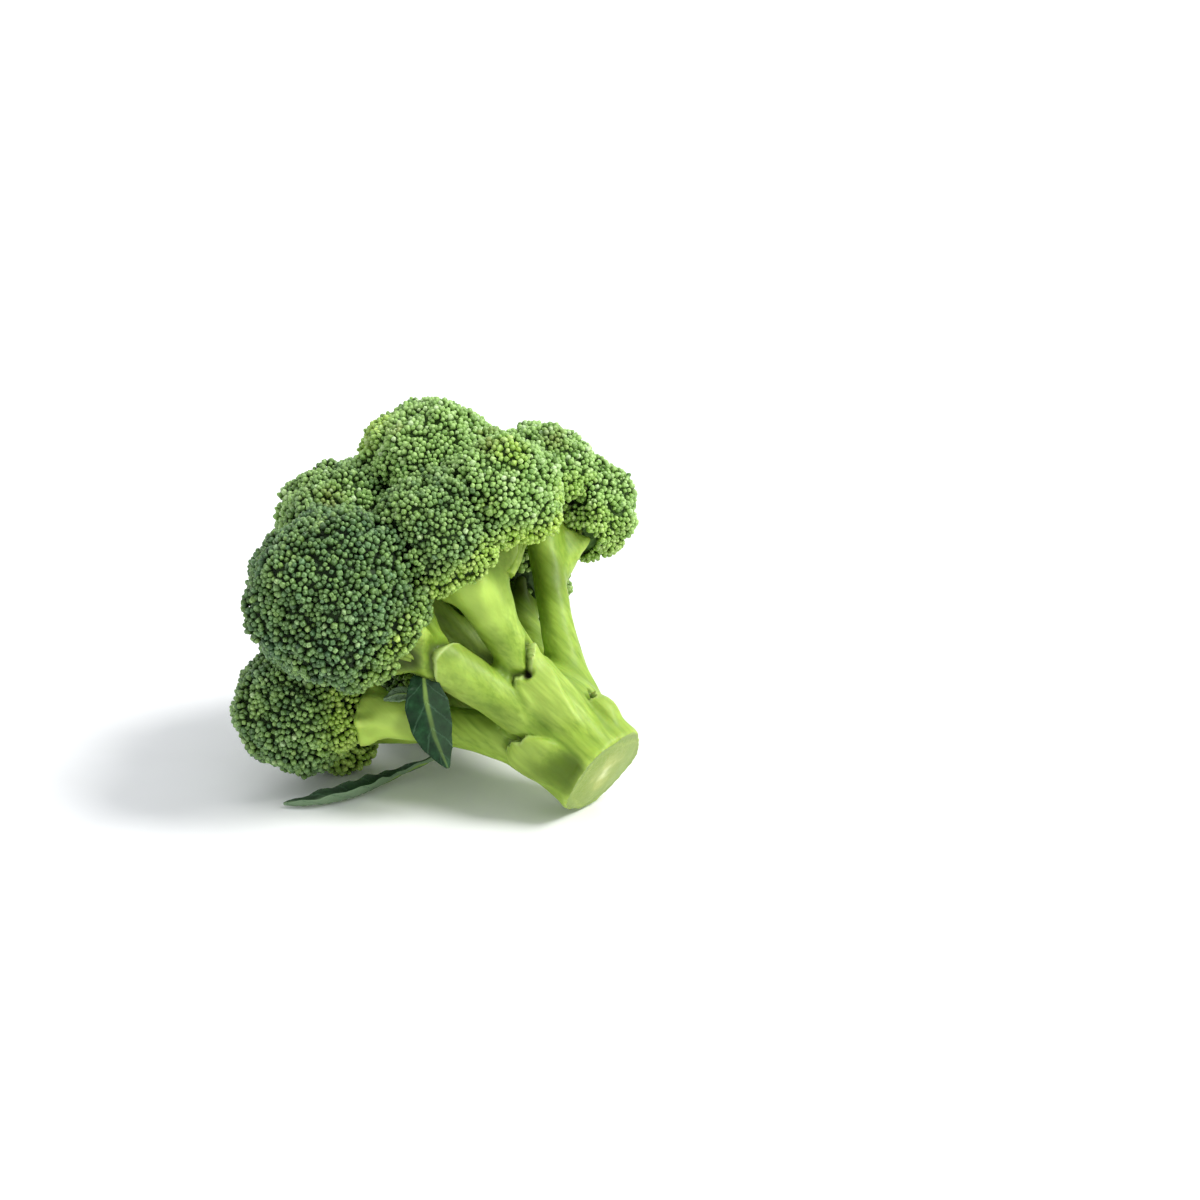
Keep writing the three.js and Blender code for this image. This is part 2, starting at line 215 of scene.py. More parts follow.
def along_the_head(tree, streak=1.0):
    """Object coordinates in millimetres, turned so that X runs along the head, and squeezed along it."""
    turned = node(tree, "ShaderNodeMapping", Vector=place_on(tree), Rotation=AXIS_TURN)
    scale = (1000 / streak, 1000, 1000)
    return node(tree, "ShaderNodeMapping", Vector=turned.outputs[0], Scale=scale).outputs[0]


def noise(tree, where, size, detail=3.0, rough=0.5):
    """Soft random patches from 0 to 1, about size across, in the unit of the coordinates."""
    made = node(tree, "ShaderNodeTexNoise", Vector=where, Scale=1 / size, Detail=detail, Roughness=rough)
    return made.outputs["Fac"]


def math_node(tree, operation, *values):
    """The result of a Math node on up to three numbers or links."""
    inputs = {f"_{k}": value for k, value in enumerate(values)}
    return node(tree, "ShaderNodeMath", {"operation": operation}, **inputs).outputs[0]


def span(tree, value, low, high, to_low=0.0, to_high=1.0):
    """Value taken from low..high to to_low..to_high, and held at the ends."""
    ends = {"From_Min": low, "From_Max": high, "To_Min": to_low, "To_Max": to_high}
    return node(tree, "ShaderNodeMapRange", Value=value, **ends).outputs["Result"]


def blend(tree, share, first, second, mode="MIX"):
    """Two colours mixed by share. The second may be a hex value."""
    second = hex_colour(second) if isinstance(second, str) else second
    settings = {"data_type": "RGBA", "blend_type": mode}
    return node(tree, "ShaderNodeMix", settings, _0=share, _6=first, _7=second).outputs[2]


def attribute(tree, name):
    """A number that is stored on the mesh."""
    return node(tree, "ShaderNodeAttribute", {"attribute_name": name}).outputs["Fac"]


def relief(tree, height, depth_mm, strength):
    """A bump of depth_mm where height goes from 0 to 1."""
    made = node(tree, "ShaderNodeBump", Height=height, Strength=strength, Distance=depth_mm * MM)
    return made.outputs["Normal"]


# %% Stalk skin
stalk_skin, tree = material("waxy_stalk_skin")
streaks = noise(tree, along_the_head(tree, 12.0), 1.5, 4.0, 0.55)
ribs = noise(tree, along_the_head(tree, 8.0), 4.5, 2.0)
patches = noise(tree, along_the_head(tree, 2.0), 11.0)
fold_painted_light = attribute(tree, "painted_fold_shading")
tone = ramp(
    tree, attribute(tree, "reach"), (0.0, "#96b53a"), (0.25, "#9cba44"), (0.5, "#94b33e"),
    (0.85, "#8fae3b"), (1.0, "#96b545"),
)
tone = blend(tree, span(tree, patches, 0.42, 0.68, 0.0, 0.6), tone, "#b3cc5c")
tone = blend(tree, span(tree, ribs, 0.48, 0.72, 0.0, 0.65), tone, "#75942a")
tone = blend(tree, span(tree, streaks, 0.42, 0.72, 0.0, 0.6), tone, "#648520")
# painted light: a lighter green on branches that lie in shade
tone = blend(tree, attribute(tree, "fresh"), tone, "#c2e064")
# painted highlight on the ridges and painted shade in the valleys
tone = blend(tree, span(tree, fold_painted_light, 0.46, 0.3, 0.0, 0.28), tone, "#c0d868")
tone = blend(tree, span(tree, fold_painted_light, 0.54, 0.85, 0.0, 0.7), tone, "#5a7a10")
# olive: random real patches on the upper branches, and painted shade in crotches and on leaf bases'
# shaded sides
tone = blend(tree, attribute(tree, "olive_and_painted_shade"), tone, "#536c08")
tone = blend(tree, attribute(tree, "torn"), tone, "#c2d684")
# painted shade: the line past torn ends, a shaded pocket and a branch in shadow; also a small scar's
# hollow
tone = blend(tree, attribute(tree, "painted_shade_and_scar"), tone, "#2a2a12")
rise = math_node(tree, "MULTIPLY_ADD", ribs, 3.0, streaks)
principled(
    tree, Base_Color=tone, Roughness=0.48, IOR=1.42, Specular_IOR_Level=0.4,
    Subsurface_Weight=0.1, Subsurface_Scale=0.003, Normal=relief(tree, rise, 0.16, 0.6),
)

# %% Cut flesh
cut_flesh, tree = material("cut_stalk_flesh")
place = along_the_head(tree)
wander = span(tree, noise(tree, place, 7.0, 2.0), 0.3, 0.7, -0.07, 0.07)
rim = math_node(tree, "ADD", attribute(tree, "rim"), wander)
fibres = noise(tree, along_the_head(tree, 0.5), 0.9, 3.0, 0.6)
wet = noise(tree, place, 6.0)
flesh = ramp(
    tree, rim, (0.0, "#d6dc9c"), (0.22, "#acb652"), (0.5, "#889c28"), (0.7, "#7a941a"),
    (0.77, "#8ca22e"), (0.85, "#728e16"), (0.94, "#6e8a16"), (1.0, "#8ea82e"),
)
flesh = blend(tree, span(tree, fibres, 0.35, 0.75, 0.0, 0.3), flesh, "#c6d28a")
flesh = blend(tree, span(tree, wet, 0.42, 0.6, 0.0, 0.6), flesh, "#7e9828")
principled(
    tree, Base_Color=flesh, Roughness=0.38, IOR=1.4,
    Subsurface_Weight=0.15, Subsurface_Scale=0.003, Normal=relief(tree, fibres, 0.2, 0.7),
)

# %% [markdown]
# ## The stalk
# The CAD stalk has the right forms, but it is faceted where the living one is rounded and its branches
# melt into one another. A copy of it is merged, remeshed into small even faces and relaxed with a
# Smooth modifier. That rounds the cut too, so its last sliver is pressed flat again.

# %% Helpers for shaping
def alone(thing):
    """Makes one object the only selected and active one."""
    bpy.ops.object.select_all(action="DESELECT")
    thing.select_set(True)
    bpy.context.view_layer.objects.active = thing


def new_object(name, data):
    """A new object in the scene, the only selected one."""
    made = bpy.data.objects.new(name, data)
    bpy.context.scene.collection.objects.link(made)
    alone(made)
    return made


def copy_of(node_name, name):
    """A merged copy of a CAD node, as a new object."""
    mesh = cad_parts[node_name].data.copy()
    mesh.name = name
    mesh.materials.clear()
    made = new_object(name, mesh)
    bpy.ops.object.mode_set(mode="EDIT")
    bpy.ops.mesh.select_all(action="SELECT")
    bpy.ops.mesh.remove_doubles(threshold=0.002 * MM)
    bpy.ops.object.mode_set(mode="OBJECT")
    return made


def shape_with(thing, kind, **settings):
    """Adds a modifier with its settings and applies it."""
    alone(thing)
    bpy.ops.object.modifier_add(type=kind)
    added = thing.modifiers[-1]
    for name, value in settings.items():
        setattr(added, name, value)
    bpy.ops.object.modifier_apply(modifier=added.name)


def pick(thing, chosen):
    """Enters edit mode with only some points selected. Chosen is true or false for each point."""
    alone(thing)
    bpy.ops.object.mode_set(mode="EDIT")
    bpy.ops.mesh.select_mode(type="VERT")
    bpy.ops.mesh.select_all(action="DESELECT")
    bpy.ops.object.mode_set(mode="OBJECT")
    thing.data.vertices.foreach_set("select", chosen)
    bpy.ops.object.mode_set(mode="EDIT")


def move_points(thing, places):
    """Puts the points of a mesh in new places."""
    thing.data.vertices.foreach_set("co", places.ravel())
    thing.data.update()


def triangles_of(thing):
    """How many triangles an object's mesh comes to."""
    return sum(len(face.vertices) - 2 for face in thing.data.polygons)


# %% Helpers for arrays of points
def lengths(rows):
    """The length of each row, as a vector."""
    return np.linalg.norm(rows, axis=-1)


def unit(rows):
    """Each row as a vector one long."""
    return rows / lengths(rows)[..., None]


def patch(points, size, seed):
    """A soft random number from about 0 to 1 for each point, in patches about `size` across."""
    shift = Vector((seed, 0.37 * seed, 0.71 * seed))
    return np.array([0.5 + 0.5 * patchwork.noise(Vector(p) / size + shift) for p in points])


def smooth_step(values, low, high):
    """From 0 at low to 1 at high, with soft ends."""
    t = np.clip((values - low) / (high - low), 0, 1)
    return t * t * (3 - 2 * t)


def give(thing, name, values):
    """Stores one number for each point of a mesh, for its material to read."""
    made = thing.data.attributes.new(name, "FLOAT", "POINT")
    made.data.foreach_set("value", np.asarray(values, np.float32))


def surface_of(thing):
    """An object's mesh in a tree that finds the nearest place on it."""
    return BVHTree.FromObject(thing, bpy.context.evaluated_depsgraph_get())


def nearest(surface, points, part=0):
    """The place on a surface nearest to each point (part 0), its normal (1) or its face (2)."""
    return np.array([surface.find_nearest(Vector(p))[part] for p in points])


def about_the_head(points):
    """Each point's distance along the head and out from its axis, in mm, and its turn in degrees."""
    top = Vector((math.sin(STEM_LEAN), 0, math.cos(STEM_LEAN)))
    from_cut = (points - np.array(CUT_END)) / MM
    up, back = from_cut @ np.array(top), from_cut[:, 1]
    return from_cut @ np.array(ALONG), np.hypot(up, back), np.degrees(np.arctan2(back, up))


# %% The stalk's rounded skin
STALK_VOXEL = 1.25 * MM
TRIM = 0.45 * MM  # pressed flat at the rounded cut

stalk = copy_of("stalk", "stalk_skin")
shape_with(stalk, "REMESH", mode="VOXEL", voxel_size=STALK_VOXEL)
shape_with(stalk, "SMOOTH", factor=0.5, iterations=10)
print("stalk triangles:", triangles_of(stalk))

# %% [markdown]
# ### Torn leaf bases
# Each leaf that was pulled off left its clasping base on the stem: a low plate with a torn upper end
# and soft sides. Such a plate is easiest to describe on the unrolled stem, by how far along and how
# far round a point is. The skin there is subdivided once, and then its points are moved outwards on
# the plate and inwards just past the torn end, which gives the dark line that shows there; that line
# is also coloured darker, which is painted shade. A few hollows and a faint ripple along the grain keep
# the skin from looking turned on a lathe.

# %% Leaf bases, as lines of (turn, along) and (along, turn) in degrees and mm
# The last entry gives the turns between which a base goes from pale to olive, and how far it goes:
# painted shade, olive on the side that lies in shade.
LEAF_BASES = [
    dict(
        end=[(-62, 27), (-57, 31), (-50, 36.5), (-44, 38.5), (-38, 37), (-33, 34.5), (-29, 37),
             (-22, 40), (-14, 43), (-9, 38), (-5, 30)],
        left=[(0, -48), (8, -50), (16, -54), (22, -58), (28, -59), (34, -54), (40, -48), (46, -40)],
        right=[(0, -27), (8, -27), (16, -24), (25, -18), (33, -11), (44, -9)],
        high=1.7, out=(12, 27), rise=(4, 26), olive_and_painted_shade=(-40, -56, 0.45),
    ),
    dict(
        end=[(-116, 22), (-110, 26.5), (-104, 27.5), (-100, 25), (-92, 25.5), (-84, 22.5),
             (-76, 22.5), (-68, 19), (-60, 15), (-55, 10)],
        left=[(0, -110), (14, -112), (28, -118)],
        right=[(0, -60), (7, -55), (11, -58), (16, -62), (22, -72), (26, -80)],
        high=2.0, out=(12, 26), rise=(2, 18), olive_and_painted_shade=(-124, -92, 0.85),
    ),
    dict(
        end=[(-96, 46), (-82, 52), (-76, 54.5), (-70, 56), (-67, 57.5), (-63, 58), (-58, 58.5),
             (-50, 58), (-40, 50)],
        left=[(36, -84), (60, -96)],
        right=[(36, -56), (60, -42)],
        high=0.7, out=(22, 48), rise=(36, 52), olive_and_painted_shade=(-62, -80, 0.3),
    ),
    dict(
        end=[(-4, 14), (3, 18), (9, 17), (15, 20), (22, 16), (28, 12)],
        left=[(0, -2), (20, 0)],
        right=[(0, 26), (20, 24)],
        high=1.2, out=(12, 26), rise=(2, 14), olive_and_painted_shade=(20, 0, 0.3),
    ),
]
NOTCH_DEPTH = 1.5  # mm, past a torn end


def base_relief(base, along, out, turn):
    """How far one leaf base lifts each point, in mm, how torn each point is, and its painted shade: dark
    just past the torn end, and olive on the side that lies in shade.
    """
    past_end = along - np.interp(turn, *zip(*base["end"]))
    left, right = (np.interp(along, *zip(*base[side])) for side in ("left", "right"))
    inside = np.minimum(turn - left, right - turn) * np.radians(1) * np.clip(out, 14, 30)
    here = (out > base["out"][0]) & (out < base["out"][1])
    side = smooth_step(inside, -0.3, 2.2) * here
    plate = base["high"] * (1 - smooth_step(past_end, -0.5, 0.3)) * smooth_step(along, *base["rise"])
    notch = NOTCH_DEPTH * smooth_step(past_end, -0.1, 0.5) * (1 - smooth_step(past_end, 0.8, 4.0))
    torn = 0.7 * smooth_step(past_end, -1.2, -0.4) * (1 - smooth_step(past_end, -0.1, 0.4))
    painted_notch_shade = smooth_step(past_end, 0.0, 0.5) * (1 - smooth_step(past_end, 0.6, 2.2))
    pale_at, olive_at, share = base["olive_and_painted_shade"]
    towards = smooth_step((turn - pale_at) / (olive_at - pale_at), 0, 1)
    olive_and_painted_shade = share * towards * side * (1 - smooth_step(past_end, -15, -3)) * smooth_step(along, -3, 2)
    return side * (plate - notch), side * torn, side * painted_notch_shade, olive_and_painted_shade


# %% Finer faces near the bases
BASES_END = 62  # mm along the head
BASES_BACK = 24  # mm behind the cut's middle

points = points_of(stalk)
pick(stalk, (about_the_head(points)[0] < BASES_END) & (points[:, 1] < CUT_END.y + BASES_BACK * MM))
bpy.ops.mesh.subdivide(number_cuts=1, smoothness=0)
bpy.ops.mesh.select_all(action="SELECT")
bpy.ops.mesh.quads_convert_to_tris()
bpy.ops.object.mode_set(mode="OBJECT")
print("with finer faces:", triangles_of(stalk))

# %% Lift the bases, and sink the hollows between them
BARE_OUT = 28  # mm out from the axis: the hollows are on the bare stem only
STEM_ROUND = 18  # mm, the stem's usual radius, for distances round it
SCAR = (36.0, -34)  # along and turn of a small deep scar
HOLLOWS = [(8, -78, 9, 1.8), (*SCAR, 2.4, 2.2), (22, -62, 6, 0.6)]  # along, turn, radius, depth
POCKET = (10, -40.5, 55)  # x, y, z of a shaded pocket where the lowest branch meets its floret
POCKET_DEPTH = 3.0
RIPPLE = 0.8  # mm, the skin's unevenness along the grain

points = points_of(stalk)
along, out, turn = about_the_head(points)
lift, torn, painted_shade_and_scar, olive_and_painted_shade = np.zeros((4, len(points)))
for base in LEAF_BASES:
    raised, edge, painted_notch_shade, painted_olive_shade = base_relief(base, along, out, turn)
    lift += raised
    torn, painted_shade_and_scar, olive_and_painted_shade = np.maximum(torn, edge), np.maximum(painted_shade_and_scar, painted_notch_shade), np.maximum(olive_and_painted_shade, painted_olive_shade)
for far, round_at, radius, depth in HOLLOWS:
    off = np.hypot(along - far, np.radians(turn - round_at) * STEM_ROUND)
    lift -= depth * (1 - smooth_step(off, 0.2 * radius, radius)) * (out < BARE_OUT)
from_scar = np.hypot(along - SCAR[0], np.radians(turn - SCAR[1]) * 20)
# painted shade: the line past torn ends at half strength, and the small scar's hollow made dark
painted_shade_and_scar = np.maximum(0.55 * painted_shade_and_scar, (1 - smooth_step(from_scar, 0.9, 1.9)) * (out < BARE_OUT))
from_pocket = lengths(points / MM - POCKET)
lift -= POCKET_DEPTH * (1 - smooth_step(from_pocket, 2, 8))
angle = np.radians(turn)
grain = np.stack([along / 12, out * np.cos(angle), out * np.sin(angle)], axis=1)
lift += RIPPLE * (patch(grain, 5.0, 7) - 0.5)
lift *= smooth_step(along, 0.6, 4.0)
print("lifted by", round(lift.min(), 2), "to", round(lift.max(), 2), "mm")

# %% Move the points, and press the cut flat
flat = np.where(along < TRIM / MM, TRIM / MM - along, 0)
dome = TRIM / MM * (1 - smooth_step(out, 7, 16)) * (flat > 0)  # a cut stands a little proud inside
shift = normals_of(stalk) * lift[:, None] + np.outer(flat - dome, ALONG)
move_points(stalk, points + shift * MM)
alone(stalk)
bpy.ops.object.shade_smooth_by_angle(angle=math.radians(50))

# %% [markdown]
# ### Tints that follow the form
# The stalk's points store how far along the head they lie, how near the
# cut's rim, and painted light and shade at a few spots where branches part: olive painted shade in
# the crotches, lighter green painted light on branches that lie in shade, and dark painted shade in a
# pocket and behind a branch. A much smoothed copy then tells the valleys, where the skin lies inside
# the copy and its green is deepened as painted shade, from the ridges, which stand out of it and are
# painted paler as a highlight.

# %% How far along, how near the rim, and the spots
HEAD_LENGTH = 110  # mm from the cut to where the highest branches end
CUT_RADIUS = 17.5
# painted shade, olive, where branches part
PAINTED_SHADE_OLIVE_SPOTS = [  # x, y, z and radius in mm, and share
    (34, -20, 35, 9, 0.35), (24, -18, 56, 12, 0.4), (17, 24, 68, 14, 0.7), (-6, 42, 50, 14, 0.6),
]
# painted light: lighter green on two branches that lie in shade
PAINTED_LIGHT_SPOTS = [(-9, -33, 27, 22, 1.0), (24, -18, 73, 17, 0.8)]
# painted shade: dark in the pocket under the lowest floret and on a branch deep in shadow
PAINTED_SHADE_SPOTS = [(*POCKET, 8.5, 0.92), (-9, 45, 54, 9, 0.7)]
MOTTLED = 0.45  # how olive the upper branches' patches are


def spotted(points, spots, start):
    """Start, raised to each spot's share at its middle and fading out to its radius."""
    for x, y, z, radius, share in spots:
        off = lengths(points / MM - (x, y, z))
        start = np.maximum(start, share * (1 - smooth_step(off, 0.35 * radius, radius)))
    return start


points = points_of(stalk)
along, out, turn = about_the_head(points)
wobble = 1 + 0.05 * np.sin(np.radians(5 * turn + 40)) + 0.03 * np.sin(np.radians(3 * turn))
patchy = 1 - smooth_step(patch(points, 14 * MM, 5), 0.3, 0.5)
olive_and_painted_shade = np.maximum(olive_and_painted_shade, MOTTLED * patchy * smooth_step(along, 30, 60))
# the fresh number is painted light on branches in shade
give(stalk, "fresh", spotted(points, PAINTED_LIGHT_SPOTS, np.zeros(len(points))))
give(stalk, "reach", np.clip(along / HEAD_LENGTH, 0, 1))
give(stalk, "rim", np.clip(out * wobble / CUT_RADIUS, 0, 1))
give(stalk, "olive_and_painted_shade", spotted(points, PAINTED_SHADE_OLIVE_SPOTS, olive_and_painted_shade))
give(stalk, "torn", torn)
give(stalk, "painted_shade_and_scar", spotted(points, PAINTED_SHADE_SPOTS, painted_shade_and_scar))

# %% Valleys and ridges
SOFT_VOXEL = 1.6 * MM
SOFT_ROUNDS = 40

soft_form = copy_of("stalk", "soft_form")
shape_with(soft_form, "REMESH", mode="VOXEL", voxel_size=SOFT_VOXEL)
shape_with(soft_form, "SMOOTH", factor=0.5, iterations=SOFT_ROUNDS)
soft_points = nearest(surface_of(soft_form), points)
bpy.data.objects.remove(soft_form)
inside = ((soft_points - points) * normals_of(stalk)).sum(1) / MM
inside -= np.median(inside)  # smoothing has shrunk the soft form a little everywhere
print("the skin lies", inside.min().round(1), "to", inside.max().round(1), "mm inside its soft form")
# painted shade in the valleys and painted highlight on the ridges
give(stalk, "painted_fold_shading", np.clip(0.5 + 0.25 * inside, 0, 1))  # 0.5 on an even slope

# %% The stalk's materials
stalk.data.materials.append(stalk_skin)
stalk.data.materials.append(cut_flesh)
for face in stalk.data.polygons:
    at_cut = (face.center - CUT_END).dot(ALONG) < 1.1 * TRIM
    face.material_index = 1 if at_cut and face.normal.dot(ALONG) < -0.8 else 0
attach(stalk, "root")
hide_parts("stalk")

# %% [markdown]
# ## The flower buds
# A floret is a cloud of closed buds, each about 2 mm across, packed side by side on twigs too short to
# see. Painted bumps would look flat from the side, so each bud is real geometry: one small bud is
# modelled, and then copied to thousands of places. It starts as a ball, the lower part is removed
# because it is hidden, and every second row of points is drawn in, which leaves the seams between the
# bud's four green sepals. Where these meet at the tip there is a small dimple.

# %% One bud, out of a ball of radius 1
FOOT = -0.5  # below this there is nothing to see
TALL = 1.12  # its height, in heights of a ball
SEAM = 0.8  # its half-width at a seam, in half-widths at a sepal
DIMPLE = 0.24  # how far the tip is pressed in
# painted shade: the dimple's colour is as dark as the bud's side
DIMPLE_SHADE = 0.45  # the dimple is as dark as the bud's side

bpy.ops.mesh.primitive_uv_sphere_add(segments=8, ring_count=5, radius=1.0, location=(0, 0, 0))
bud = bpy.context.object
bud.name = "bud_model"
pick(bud, points_of(bud)[:, 2] < FOOT)
bpy.ops.mesh.delete(type="VERT")
bpy.ops.mesh.select_all(action="DESELECT")
bpy.ops.mesh.select_non_manifold()
bpy.ops.mesh.edge_face_add()
bpy.ops.mesh.select_all(action="SELECT")
bpy.ops.transform.resize(value=(1, 1, TALL))
bpy.ops.object.mode_set(mode="OBJECT")

# %% Its seams and its tip
def in_order(corners):
    """The foot from its lowest corner on, because Blender may start it at any. Others stay as made."""
    first = corners.index(min(corners)) if len(corners) > 4 else 0
    return corners[first:] + corners[:first]


turns_round = np.arctan2(points_of(bud)[:, 1], points_of(bud)[:, 0]) / math.radians(45)
pick(bud, np.round(turns_round) % 2 == 1)
bpy.ops.transform.resize(value=(SEAM, SEAM, 1))
bpy.ops.object.mode_set(mode="OBJECT")
pick(bud, points_of(bud)[:, 2] > TALL - 0.02)
bpy.ops.transform.translate(value=(0, 0, -DIMPLE))
bpy.ops.object.mode_set(mode="OBJECT")
bud_points = points_of(bud)
bud_faces = sorted(in_order(list(face.vertices)) for face in bud.data.polygons)
# painted shade and highlight: a number from the bud's foot to its tip, lower in the dimple
bud_painted_shading = np.clip((bud_points[:, 2] - bud_points[:, 2].min()) / np.ptp(bud_points[:, 2]), 0, 1)
bud_painted_shading[np.hypot(*bud_points[:, :2].T) < 0.1] = DIMPLE_SHADE
bpy.data.objects.remove(bud)
print("bud triangles:", sum(len(face) - 2 for face in bud_faces))

# %% [markdown]
# The buds' colour says most about how fresh a head is. Each bud is dark at its foot, which is painted
# shade, and bright at its tip, which is a painted highlight. Most are deep blue-green, some olive, and
# those at a floret's shaded rim stay yellow-green. The material mixes these by numbers that are stored
# on the mesh: one up each bud, a chance for each bud, `rim` towards the floret's lower edge, and
# `warmth`, paleness and `brown` for wider patches. The paleness is partly a real tint and partly painted
# light on the florets that face the lamp, and the chance also holds painted shade between clusters and
# painted light on the shaded rims.

# %% Bud skin
bud_skin, tree = material("waxy_flower_buds")
chance_and_painted_light = attribute(tree, "chance_and_painted_light")
dust = noise(tree, place_on(tree), 0.6 * MM)
cool = ramp(tree, chance_and_painted_light, (0.0, "#2c4f2e"), (0.45, "#4a7543"), (0.8, "#6c975f"), (1.0, "#94bb86"))
warm = ramp(tree, chance_and_painted_light, (0.0, "#3d5e1f"), (0.45, "#628733"), (0.8, "#86aa4e"), (1.0, "#acc970"))
pale_and_painted_light = ramp(tree, chance_and_painted_light, (0.0, "#729f48"), (0.45, "#a2cc68"), (0.8, "#bce285"), (1.0, "#d6f0b2"))
edge = ramp(tree, chance_and_painted_light, (0.0, "#7ba328"), (0.5, "#a9d045"), (1.0, "#cdea6a"))
tone = blend(tree, attribute(tree, "warmth"), cool, warm)
# partly a real paler tint, partly painted light on the florets that face the lamp
tone = blend(tree, attribute(tree, "pale_and_painted_light"), tone, pale_and_painted_light)
tone = blend(tree, attribute(tree, "rim"), tone, edge)
tone = blend(tree, attribute(tree, "brown"), tone, "#8a8c36")
# painted shade: each bud darker towards its foot, less so on the paler florets
painted_foot_shade = blend(tree, 1.0, tone, "#5f6a48", "MULTIPLY")
shaded = blend(tree, span(tree, attribute(tree, "painted_bud_shading"), 0.0, 0.85), painted_foot_shade, tone)
lighter_foot = span(tree, attribute(tree, "pale_and_painted_light"), 0.3, 1.0, 0.0, 0.5)
tone = blend(tree, lighter_foot, shaded, tone)
# painted highlight: each bud lighter at its tip
painted_tip_highlight = span(tree, attribute(tree, "painted_bud_shading"), 0.7, 1.0, 0.0, 0.42)
tone = blend(tree, painted_tip_highlight, tone, "#b9d3a6")
dusty = blend(tree, 1.0, tone, "#7c8a60", "MULTIPLY")
tone = blend(tree, span(tree, dust, 0.5, 0.62, 0.0, 0.55), tone, dusty)
principled(tree, Base_Color=tone, Roughness=0.46, IOR=1.45, Normal=relief(tree, dust, 0.22, 0.7))

# %% The dark inside of a floret
core_skin, tree = material("shaded_floret_inside")
mottle = noise(tree, place_on(tree), 1.5 * MM)
# painted shade: the inside is near-black green; on the paler florets it is lighter, which is painted
# light too
deep = ramp(tree, mottle, (0.3, "#16260e"), (0.7, "#2c4419"))
bright = ramp(tree, mottle, (0.3, "#345219"), (0.7, "#56782f"))
principled(tree, Base_Color=blend(tree, attribute(tree, "pale_and_painted_light"), deep, bright), Roughness=0.8)

# %% [markdown]
# ## The crown's skin
# The florets press against one another, so their buds cover the crown as one broad skin with soft
# valleys in it. That skin is found by closing: copies of the CAD florets are joined, swollen, remeshed
# into one and shrunk back, which fills the narrow gaps and leaves the outer shape alone. Every part of
# the skin still belongs to its nearest floret.

# %% Join, swell, remesh and shrink
FLORETS = sorted(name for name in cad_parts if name.startswith("floret"))
CROWN_VOXEL = 0.95 * MM
CLOSED_BY = 2.0 * MM

crown_parts = [copy_of(name, "part_of_crown") for name in FLORETS]
alone(crown_parts[0])
for part in crown_parts[1:]:
    part.select_set(True)
bpy.ops.object.join()
crown = bpy.context.object
crown.name = "crown_form"
shape_with(crown, "REMESH", mode="VOXEL", voxel_size=CROWN_VOXEL)
shape_with(crown, "DISPLACE", strength=CLOSED_BY, mid_level=0)
shape_with(crown, "REMESH", mode="VOXEL", voxel_size=CROWN_VOXEL)
shape_with(crown, "DISPLACE", strength=-CLOSED_BY, mid_level=0)
shape_with(crown, "SMOOTH", factor=0.5, iterations=4)
crown_surface = surface_of(crown)
print("crown skin:", triangles_of(crown), "triangles")

# %% The owner of each face of the skin
crown.data.calc_loop_triangles()
skin = crown.data.loop_triangles
skin_corners = points_of(crown)[np.array([t.vertices for t in skin])]
skin_normals = np.array([t.normal for t in skin])
skin_areas = np.array([t.area for t in skin])

all_points, all_faces, face_owner = [], [], []
for number, name in enumerate(FLORETS):
    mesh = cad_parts[name].data
    base = len(all_points)
    all_points += [point.co for point in mesh.vertices]
    all_faces += [[base + v for v in face.vertices] for face in mesh.polygons]
    face_owner += [number] * len(mesh.polygons)
florets_surface = BVHTree.FromPolygons(all_points, all_faces)
skin_owner = np.array(face_owner)[nearest(florets_surface, skin_corners.mean(1), 2)]
print("cm2 of skin:", {n: round(skin_areas[skin_owner == k].sum() * 1e4) for k, n in enumerate(FLORETS)})

# %% [markdown]
# ## Where the buds sit
# Points thrown at random would clump, and a grid would look woven. Real buds push one another apart,
# so points are thrown one by one and kept only if none is too near, and then each is nudged away from
# its neighbours a few times. Below a floret's rim there are no buds, only the twigs that carry them.

# %% The way each floret faces
FORK = CUT_END + 45 * MM * ALONG  # about where the branches part
SAME_PLANE = 0.2 * MM  # faces no further apart than this are one flat


def underside_of(node_name):
    """A CAD floret's flat underside: its middle, the way the floret faces from it, and its area."""
    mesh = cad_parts[node_name].data
    middle = points_of(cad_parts[node_name]).mean(0)
    towards = (Vector(middle) - FORK).normalized()
    planes = {}
    for face in mesh.polygons:
        if face.normal.dot(towards) < -0.8:
            level = round(face.center.dot(face.normal) / SAME_PLANE)
            planes.setdefault((*(round(c, 2) for c in face.normal), level), []).append(face)
    flat = max(planes.values(), key=lambda faces: sum(face.area for face in faces))
    area = sum(face.area for face in flat)
    centre = sum((face.center * face.area for face in flat), Vector()) / area
    return centre, -flat[0].normal.normalized(), area


seats = {name: underside_of(name) for name in FLORETS}
for name, (centre, facing, area) in seats.items():
    way = [round(c, 2) for c in facing]
    print(name, "at", [round(c / MM) for c in centre], "faces", way, round(area / MM**2), "mm2")

# %% Throwing points, and keeping them apart
SEED = 20


def throw(faces, count, dice):
    """Points at random all over some faces of the skin, and the skin's normal at each."""
    areas = skin_areas[faces]
    chosen = faces[dice.choice(len(faces), size=count, p=areas / areas.sum())]
    a, b = dice.random((2, count, 1))
    a, b = np.where(a + b > 1, 1 - a, a), np.where(a + b > 1, 1 - b, b)
    first, second, third = skin_corners[chosen].transpose(1, 0, 2)
    return first + a * (second - first) + b * (third - first), skin_normals[chosen]


